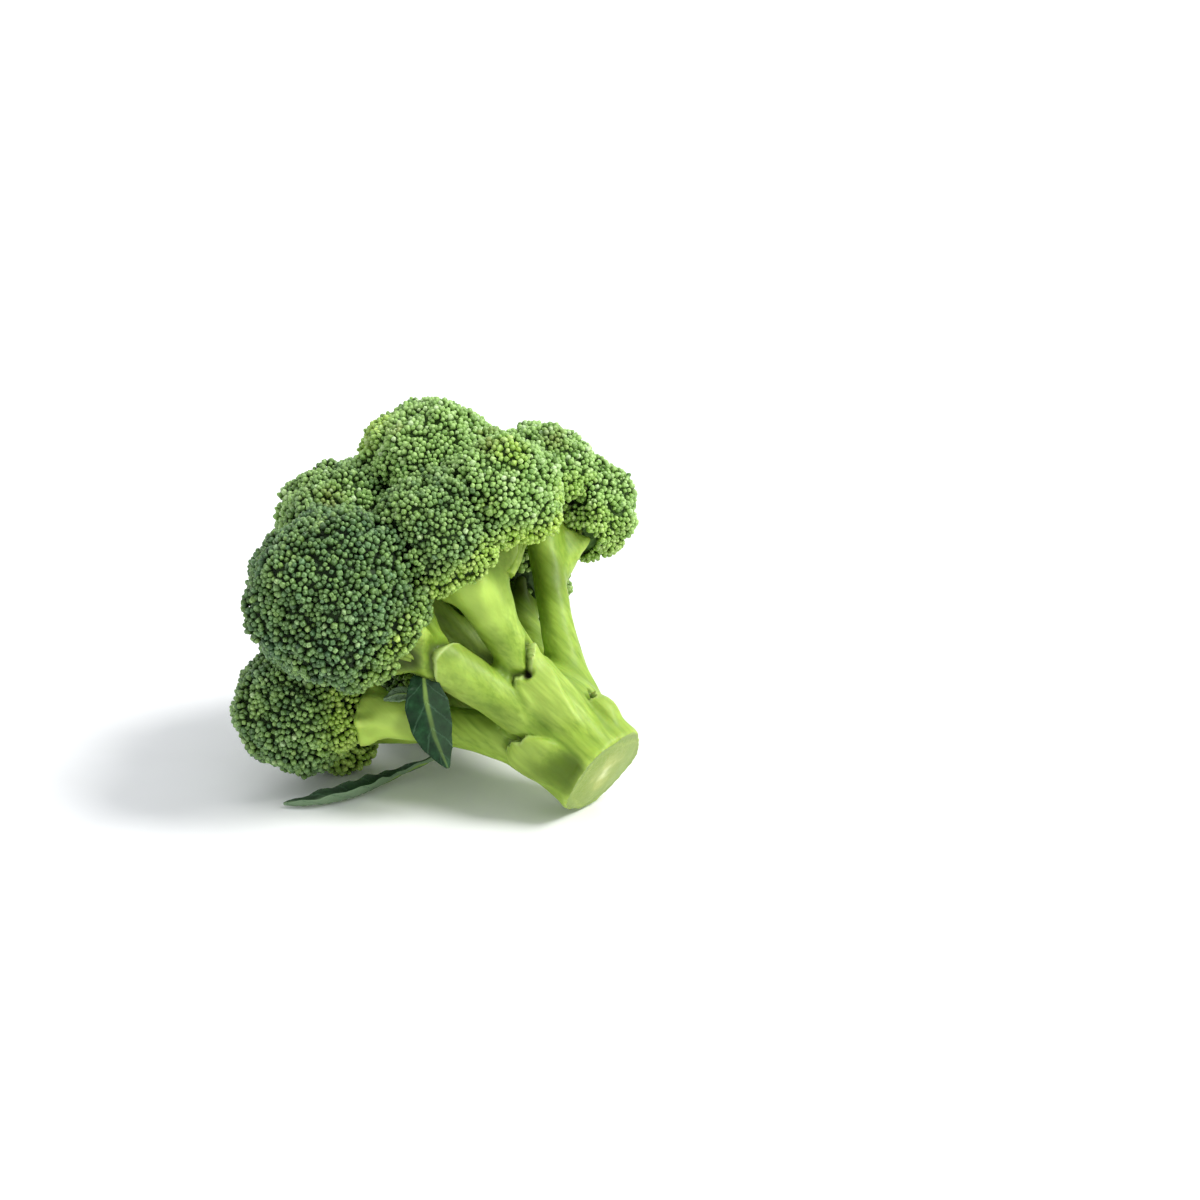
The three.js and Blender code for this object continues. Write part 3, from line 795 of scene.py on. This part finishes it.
def keep_apart(points, gap, batch=250):
    """The numbers of the points that can stay when none may be nearer than gap to an earlier one."""
    kept = []
    for start in range(0, len(points), batch):
        fresh = points[start:start + batch]
        clear = np.ones(len(fresh), bool)
        if kept:
            apart = lengths(fresh[:, None] - points[kept][None])
            clear = apart.min(1) > gap
        for i in np.flatnonzero(clear):
            near = [k for k in kept if k >= start]
            if not near or lengths(points[near] - fresh[i]).min() > gap:
                kept.append(start + i)
    return np.array(kept)


def nudge(points, gap, rounds=4):
    """Pushes crowded points away from their neighbours, and back onto the skin."""
    for _ in range(rounds):
        step = points[:, None] - points[None]
        apart = lengths(step)
        np.fill_diagonal(apart, 1)
        push = np.clip(gap - apart, 0, None) / apart
        points = points + 0.35 * (step * push[..., None]).sum(1)
        points = nearest(crown_surface, points)
    return points


# %% A spot for each bud
def by_floret(usual, **others):
    """A number for each floret: the usual one, or its own if it is named."""
    return {**dict.fromkeys(FLORETS, usual), **others}


BUD_GAP = by_floret(  # between the middles of two buds
    1.8 * MM, floret_01=1.95 * MM, floret_02=1.95 * MM, floret_07=1.7 * MM, floret_08=1.7 * MM,
)
BUD_GAP.update(dict.fromkeys(FLORETS[8:14], 2.2 * MM))  # the far side
THROWN = 9  # points thrown for each square gap of skin
ROOM = 0.86  # between the even spots before they are nudged, in gaps
HOLE = 0.68  # the smallest room between two buds, in gaps
SMALL_BUD = 0.78  # the size of the buds that fill holes
UNDERSIDE = 1.2 * MM  # skin that is lower than this and faces down has buds only near the rim
FACES_DOWN = -0.7
RIM_BAND = 5.5 * MM  # how far the buds reach in over a floret's underside


def spots_on(name, number):
    """The spots for one floret's buds, one row each: x, y, z and the bud's size."""
    dice = np.random.default_rng(SEED + number)
    gap = BUD_GAP[name]
    seat, facing, _ = seats[name]
    own = np.flatnonzero(skin_owner == number)
    points, normals = throw(own, int(THROWN * skin_areas[own].sum() / gap**2), dice)
    above = (points - np.array(seat)) @ np.array(facing)
    under = (above <= UNDERSIDE) & (normals @ np.array(facing) <= FACES_DOWN)
    spread = lengths(points - np.array(seat) - np.outer(above, facing))
    reach = np.percentile(spread[under], 97) if under.any() else 0
    points = points[~under | (spread > reach - RIM_BAND)]
    even = nudge(points[keep_apart(points, ROOM * gap)], gap)
    both = np.concatenate([even, points])
    kept = keep_apart(both, HOLE * gap)
    return np.column_stack([both[kept], np.where(kept < len(even), 1.0, SMALL_BUD)])


spots = {}
for number, name in enumerate(FLORETS):
    spots[name] = spots_on(name, number)
    for other in FLORETS[:number]:
        apart = lengths(spots[name][:, None, :3] - spots[other][None, :, :3]).min(1)
        spots[name] = spots[name][apart > HOLE * BUD_GAP[name]]
print("buds:", {name: len(found) for name, found in spots.items()}, sum(map(len, spots.values())))

# %% [markdown]
# ## Copying the bud
# Each spot gets its own copy of the bud. Within a cluster the buds fan out from its middle, and they
# sit lower where two clusters meet, which draws the dark lines between them. All copies of one floret
# are one mesh, and its points are worked out all at once with arrays of numbers, because thousands of
# separate objects would be slow to make and to handle.

# %% How the buds stand
BUD_WIDTH = 0.68  # half a bud's width, in gaps
BUD_LENGTH = 1.12  # its length, in widths
SUNK = 0.5  # how far a bud's middle lies below the skin, in half-widths
CLUSTER_GAP = 7.5 * MM  # between the middles of two clusters
BORDER = 1.2 * MM  # half the width of the groove between them
GROOVE = 1.5 * MM  # how much lower the buds are there
DOME = 1.1 * MM  # how much higher they are in the middle of a cluster
LUMP = 3.0 * MM  # how uneven a floret is, from its hollows to its humps
FAN = 0.5  # how far the buds of a cluster lean away from its middle
TILT = 0.16  # how far each leans at random
BOTTOM_CLEAR = 0.02 * MM


def lumps_at(points):
    """How much higher or lower than the CAD surface an uneven floret is at each point."""
    return LUMP * (patch(points, 13 * MM, 11) - 0.5)


def bud_shapes(name, dice):
    """The points of each bud of one floret, and how near each bud is to its cluster's border."""
    points, share, gap = spots[name][:, :3], spots[name][:, 3], BUD_GAP[name]
    count = len(points)
    normals = nearest(crown_surface, points, 1)
    centres = points[keep_apart(points, CLUSTER_GAP)]
    apart = lengths(points[:, None] - centres[None])
    first, second = np.sort(apart, axis=1)[:, :2].T
    border = np.exp(-(((second - first) / BORDER) ** 2))
    outward = (points - centres[apart.argmin(1)]) / CLUSTER_GAP
    axes = unit(normals + FAN * outward + dice.normal(0, TILT, (count, 3)))
    sideways = unit(np.cross(axes, dice.normal(0, 1, (count, 3))))
    turns = np.stack([sideways, np.cross(axes, sideways), axes], axis=2)

    width = BUD_WIDTH * gap * share * dice.uniform(0.74, 1.1, count) * (1 - 0.12 * border)
    length = width * BUD_LENGTH * dice.uniform(0.9, 1.2, count)
    sizes = np.stack([width, width * dice.uniform(0.85, 1.1, count), length], axis=1)
    rise = DOME * (1 - np.clip(first / (0.62 * CLUSTER_GAP), 0, 1) ** 2) - GROOVE * border
    rise += lumps_at(points) - dice.random(count) ** 3 * 0.5 * MM
    middles = points + normals * (rise - SUNK * width)[:, None]
    shaped = np.einsum("nij,nvj->nvi", turns, bud_points[None] * sizes[:, None]) + middles[:, None]
    shaped[..., 2] += np.clip(BOTTOM_CLEAR - shaped[..., 2].min(1), 0, None)[:, None]
    return shaped, border


# %% How the buds' colours vary
# painted shade: floret_01, which faces away from the lamp, sits lower on the ramps and is darker
FLORET_TONE_AND_PAINTED_SHADE = by_floret(0.57, floret_01=0.5)  # the usual place on the colour ramps
FLORET_WARMTH = by_floret(
    0.45, floret_01=0.4, floret_03=0.55, floret_04=0.6, floret_05=0.5, floret_06=0.6, floret_07=0.2,
    floret_08=0.5, floret_11=0.9,
)
# partly a real paler tint, partly painted light: the florets that face the lamp are paler
FLORET_PALE_AND_PAINTED_LIGHT = by_floret(
    0.35, floret_01=0.05, floret_02=0.25, floret_03=0.45, floret_04=1.0, floret_05=0.55,
    floret_06=0.95, floret_07=1.0, floret_08=1.0, floret_11=0.2,
)
FLORET_RIM = by_floret(0.5, floret_01=0.4, floret_02=0.95, floret_03=0.8, floret_04=1.0, floret_11=0.9)
AGED_PATCHES = [  # x, y, z and radius, in mm
    ((-17, -10, 122), 6), ((6, 10, 120.6), 5), ((16, -2, 121), 6), ((7, 44, 110), 7),
    ((-24, -35, 103), 8),
]
YOUNG_PATCHES = [  # still yellow-green
    ((-33, -6, 118), 15), ((23, 1, 120), 9), ((24, -10, 104), 8), ((30, -20, 91), 9),
    ((-16, -39, 28), 18), ((-18, -38, 37), 15), ((31, 13, 104), 7), ((17, -50, 66), 7),
    ((-28, -28, 8), 14),
]


def within(points, place, across, ragged=0.0):
    """1 near a place given in mm, fading to 0 at a distance of across mm."""
    off = lengths(points - np.array(place) * MM) + ragged
    return 1 - smooth_step(off, 0.3 * across * MM, across * MM)


def bud_tints(name, number, dice, border):
    """What the buds' material reads, apart from the tip: one number for each bud."""
    points = spots[name][:, :3]
    count = len(points)
    seat, facing, _ = seats[name]
    above = (points - np.array(seat)) @ np.array(facing)
    ragged = 5 * MM * (patch(points, 6 * MM, 3 + number) - 0.5)
    rim = FLORET_RIM[name] * (1 - smooth_step(above + ragged, 2.0 * MM, 10.0 * MM))
    warmth = np.clip(FLORET_WARMTH[name] + 1.3 * (patch(points, 11 * MM, 40) - 0.5), 0, 1)
    pale_and_painted_light = np.clip(FLORET_PALE_AND_PAINTED_LIGHT[name] + 0.8 * (patch(points, 13 * MM, 60) - 0.5), 0, 1)
    aged = np.max([within(points, *each) for each in AGED_PATCHES], axis=0)
    for place, across in YOUNG_PATCHES:
        young = dice.uniform(0.35, 1.0, count) * within(points, place, across, 0.4 * ragged)
        rim = np.maximum(rim, young)
    # painted shade: buds near a cluster's border are darker; painted light: buds on the shaded rim are
    # brighter
    chance_and_painted_light = dice.normal(FLORET_TONE_AND_PAINTED_SHADE[name], 0.2, count) - 0.16 * border
    chance_and_painted_light += 0.55 * (patch(points, 4.5 * MM, 80) - 0.5) + 0.3 * np.maximum(rim - 0.3, 0)
    return {
        "chance_and_painted_light": np.clip(chance_and_painted_light, 0, 1),
        "rim": rim,
        "warmth": np.clip(warmth + dice.normal(0, 0.24, count), 0, 1),
        "pale_and_painted_light": np.clip(pale_and_painted_light + dice.normal(0, 0.14, count), 0, 1),
        "brown": aged * dice.uniform(0.1, 0.6, count),
    }


# %% One mesh of many buds
def bud_cloud(name, number):
    """The buds of one floret, as one object."""
    dice = np.random.default_rng(SEED + 100 + number)
    shaped, border = bud_shapes(name, dice)
    count, each = shaped.shape[:2]
    faces = [[v + each * i for v in face] for i in range(count) for face in bud_faces]
    mesh = bpy.data.meshes.new("buds_" + name)
    mesh.from_pydata(shaped.reshape(-1, 3), [], faces)
    mesh.polygons.foreach_set("use_smooth", np.ones(len(faces), bool))
    made = new_object("buds_" + name, mesh)
    give(made, "painted_bud_shading", np.tile(bud_painted_shading, count))
    for tint, values in bud_tints(name, number, dice, border).items():
        give(made, tint, np.repeat(values, each))
    mesh.materials.append(bud_skin)
    return made


# %% The inside that shows between the buds
CORE_VOXEL = 1.3 * MM
CORE_DEPTH = 1.9 * MM  # from the CAD surface down to the dark inside
CORE_KEPT = 0.3  # the share of its triangles that is kept


def floret_core(name):
    """A copy of a CAD floret coloured near-black as painted shade, which lies under the buds and follows
    their lumps.
    """
    core = copy_of(name, "inside_" + name)
    shape_with(core, "REMESH", mode="VOXEL", voxel_size=CORE_VOXEL)
    shape_with(core, "SMOOTH", factor=0.5, iterations=3)
    points = points_of(core)
    sunk = points + normals_of(core) * (lumps_at(points) - CORE_DEPTH)[:, None]
    sunk[:, 2] = np.maximum(sunk[:, 2], BOTTOM_CLEAR)
    move_points(core, sunk)
    shape_with(core, "DECIMATE", ratio=CORE_KEPT)
    give(core, "pale_and_painted_light", np.full(len(core.data.vertices), FLORET_PALE_AND_PAINTED_LIGHT[name]))
    core.data.materials.append(core_skin)
    return core


# %% Make the florets
for number, name in enumerate(FLORETS):
    buds = bud_cloud(name, number)
    core = floret_core(name)
    for piece in (buds, core):
        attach(piece, "root")
        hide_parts(name)
    print(name, "buds", triangles_of(buds), "inside", triangles_of(core))
bpy.data.objects.remove(crown)

# %% [markdown]
# ## The twigs below the florets
# Below each floret its branch splits again into pale twigs that fan out to the rim. They are thin,
# round and tapered, which is what a curve with a bevel gives: a radius at each of its points makes the
# taper. All twigs of one floret are splines of one curve, which is then made a mesh.

# %% Twig skin
twig_skin, tree = material("young_twig_skin")
mottle = noise(tree, place_on(tree), 2.5 * MM)
tone = ramp(tree, mottle, (0.3, "#76942c"), (0.55, "#93b03c"), (0.75, "#aec35c"))
tone = blend(tree, attribute(tree, "brown"), tone, "#5a561e")
principled(tree, Base_Color=tone, Roughness=0.45, IOR=1.42, Normal=relief(tree, mottle, 0.15, 0.6))

# %% Helpers for twigs
TWIG_RADIUS = 1.5 * MM
TAPER = (1.25, 1.0, 0.85, 0.75, 0.6)  # radii from root to tip, in twig radii


def twig_line(start, end, facing, bow):
    """Five points from start to end, moved along the floret's facing by bow at the middle."""
    return [start.lerp(end, t) + facing * (bow * 4 * t * (1 - t)) for t in (0, 0.25, 0.5, 0.75, 1)]


def twig_curve(name):
    """An empty curve whose splines are round twigs."""
    curve = bpy.data.curves.new(name, "CURVE")
    curve.dimensions = "3D"
    curve.bevel_depth = TWIG_RADIUS
    curve.bevel_resolution = 1
    curve.resolution_u = 3
    curve.use_fill_caps = True
    return curve


def add_twig(curve, line, dice):
    """One tapered twig through the points of a line."""
    spline = curve.splines.new("NURBS")
    spline.points.add(len(line) - 1)
    spline.use_endpoint_u = True
    spline.order_u = 4
    for point, place, thick in zip(spline.points, line, TAPER):
        point.co = (*place, 1)
        point.radius = thick * dice.uniform(0.85, 1.1)


# %% A fan of twigs for each floret
TWIGS = 9
ROOT_BELOW = 9  # mm below a floret's underside, where its branch is looked for
ROOT_DEEP = 3  # mm, how deep in the branch a twig starts
TIP_DEEP = 1.5  # mm, how deep in the floret it ends
BOW = (-2.5, 0.5)  # mm, how far it bends out of line
BROWN_TWIGS = by_floret(0.0, floret_01=0.8, floret_09=0.7, floret_11=0.6, floret_12=0.4)

stalk_surface = surface_of(stalk)
for number, name in enumerate(FLORETS):
    dice = np.random.default_rng(SEED + 300 + number)
    seat, facing, area = seats[name]
    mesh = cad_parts[name].data
    sides = [list(face.vertices) for face in mesh.polygons]
    own_tree = BVHTree.FromPolygons([point.co for point in mesh.vertices], sides)
    root, outwards = stalk_surface.find_nearest(seat - facing * ROOT_BELOW * MM)[:2]
    across = facing.orthogonal().normalized()
    reach = math.sqrt(area / math.pi)
    curve = twig_curve("twigs_" + name)
    for k in range(TWIGS):
        way = Matrix.Rotation(2 * math.pi * (k + dice.uniform(-0.3, 0.3)) / TWIGS, 3, facing) @ across
        below = seat + way * reach * dice.uniform(0.5, 0.92) - facing * 15 * MM
        hit = own_tree.ray_cast(below, facing, 30 * MM)[0]
        if hit is not None:
            start = root - outwards * ROOT_DEEP * MM - facing * ROOT_DEEP * MM + way * 0.3 * MM
            end = hit + facing * TIP_DEEP * MM
            add_twig(curve, twig_line(start, end, facing, dice.uniform(*BOW) * MM), dice)
    new_object("twigs_" + name, curve)
    bpy.ops.object.convert(target="MESH")
    twigs = bpy.context.object
    twigs.data.materials.append(twig_skin)
    from_root = lengths(points_of(twigs) - np.array(root))
    give(twigs, "brown", BROWN_TWIGS[name] * smooth_step(from_root, 4 * MM, 10 * MM))
    bpy.ops.object.shade_smooth()
    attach(twigs, "root")
    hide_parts(name)
    print(name, "twigs", triangles_of(twigs), "triangles")

# %% [markdown]
# ## The leaves
# The small leaves on a head are thicker than they look, with a bluish wax over dark green and a pale
# midrib. Each one starts from its CAD solid, which a Subdivision Surface rounds. Its margin is then
# ruffled and its midrib raised in code. The veins follow the blade, so the points also store how far
# along and across the leaf they lie.

# %% Leaf blade
SIDE_VEINS = 7  # on each side of the midrib

leaf_skin, tree = material("waxed_leaf_blade")
from_rib = math_node(tree, "ABSOLUTE", attribute(tree, "across"))
lean = math_node(tree, "MULTIPLY_ADD", from_rib, -0.16, attribute(tree, "along"))
wave = math_node(tree, "SINE", math_node(tree, "MULTIPLY", lean, SIDE_VEINS * 2 * math.pi))
side_vein = span(tree, wave, 0.9, 1.0)
midrib = span(tree, from_rib, 0.05, 0.14, 1.0, 0.0)
bloom = noise(tree, place_on(tree), 3.0 * MM, 4.0)
grain = noise(tree, place_on(tree), 0.6 * MM, 2.0)
tone = ramp(tree, bloom, (0.3, "#0f2914"), (0.55, "#17391d"), (0.75, "#234a2a"))
tone = blend(tree, attribute(tree, "grey"), tone, "#7d9674")
tone = blend(tree, span(tree, side_vein, 0.0, 1.0, 0.0, 0.35), tone, "#4d6f52")
rib_share = math_node(tree, "MULTIPLY", midrib, attribute(tree, "stalky"))
tone = blend(tree, rib_share, tone, "#8fae55")
height = math_node(tree, "MULTIPLY_ADD", side_vein, -1.2, grain)
principled(
    tree, Base_Color=tone, Roughness=0.42, IOR=1.36, Specular_IOR_Level=0.28,
    Normal=relief(tree, height, 0.18, 0.7),
)

# %% Ribs, and the way each blade faces
RIBS = dict(
    leaf_1=[(8.3, -22, 50.5), (9.8, -28, 53.5), (12.3, -32, 50), (15.8, -35, 42), (19.3, -35, 30),
            (22.3, -32, 18.5)],
    leaf_2=[(5.3, -9, 14.6), (-2.7, -12, 8), (-10.2, -17, 3.2), (-12.4, -28.5, 1.3),
            (-13.8, -40.7, 0.9), (-19.7, -52, 0.9), (-27.5, -58.5, 1.2)],
    leaf_3=[(5.3, -22.5, 33.5), (1.3, -25.5, 37.2), (-2.7, -28, 37), (-6.7, -30.5, 35)],
)
BLADE_UP = dict(leaf_1=(0.62, -0.74, 0.26), leaf_2=(0.2, -0.25, 1), leaf_3=(0.4, -0.55, 0.75))
GREY = dict(leaf_1=(0.1, 0.0), leaf_2=(1.0, 0.15), leaf_3=(0.95, 0.95))  # left and right of the rib
RUFFLE = dict(leaf_1=1.1 * MM, leaf_2=0.3 * MM, leaf_3=0.3 * MM)
RIDGE = 0.35 * MM  # how far the midrib stands up
STEPS = 80  # along a rib


def leaf_map(points, rib, up):
    """How far along its rib each point is, from 0 to 1, how far across, from -1 to 1, and its up."""
    steps = np.linspace(0, len(rib) - 1, STEPS)
    line = np.stack([np.interp(steps, range(len(rib)), row) for row in zip(*rib)], axis=1) * MM
    at = lengths(points[:, None] - line[None]).argmin(1)
    ahead = unit(np.gradient(line, axis=0))
    side = unit(np.cross(ahead, up))
    rise = np.cross(side, ahead)
    reach = ((points - line[at]) * side[at]).sum(1)
    near_step = [np.abs(at - k) <= 3 for k in range(STEPS)]
    widest = np.array([np.abs(reach[near]).max(initial=0.5 * MM) for near in near_step])
    return at / (STEPS - 1), reach / widest[at], rise[at]


# %% The leaves
for name, rib in RIBS.items():
    leaf = copy_of(name, "blade_" + name)
    shape_with(leaf, "SUBSURF", levels=2, render_levels=2)
    points = points_of(leaf)
    along_rib, across_rib, up = leaf_map(points, rib, BLADE_UP[name])
    edge = np.abs(across_rib) ** 2 * smooth_step(along_rib, 0.1, 0.3)
    phase = np.where(across_rib > 0, 0.0, 1.7)
    waves = np.sin(26 * along_rib + phase) + 0.5 * np.sin(61 * along_rib + 2 * phase)
    rise = RUFFLE[name] * edge * waves + RIDGE * np.exp(-((across_rib / 0.12) ** 2))
    moved = points + up * rise[:, None]
    moved[:, 2] = np.maximum(moved[:, 2], BOTTOM_CLEAR)
    move_points(leaf, moved)
    left, right = GREY[name]
    give(leaf, "along", along_rib)
    give(leaf, "across", across_rib)
    give(leaf, "grey", left + (right - left) * smooth_step(across_rib, -0.1, 0.35))
    give(leaf, "stalky", 1 - smooth_step(along_rib, 0.35, 0.8) * 0.75)
    leaf.data.materials.append(leaf_skin)
    bpy.ops.object.shade_smooth()
    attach(leaf, "root")
    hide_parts(name)
    print(name, triangles_of(leaf), "triangles")
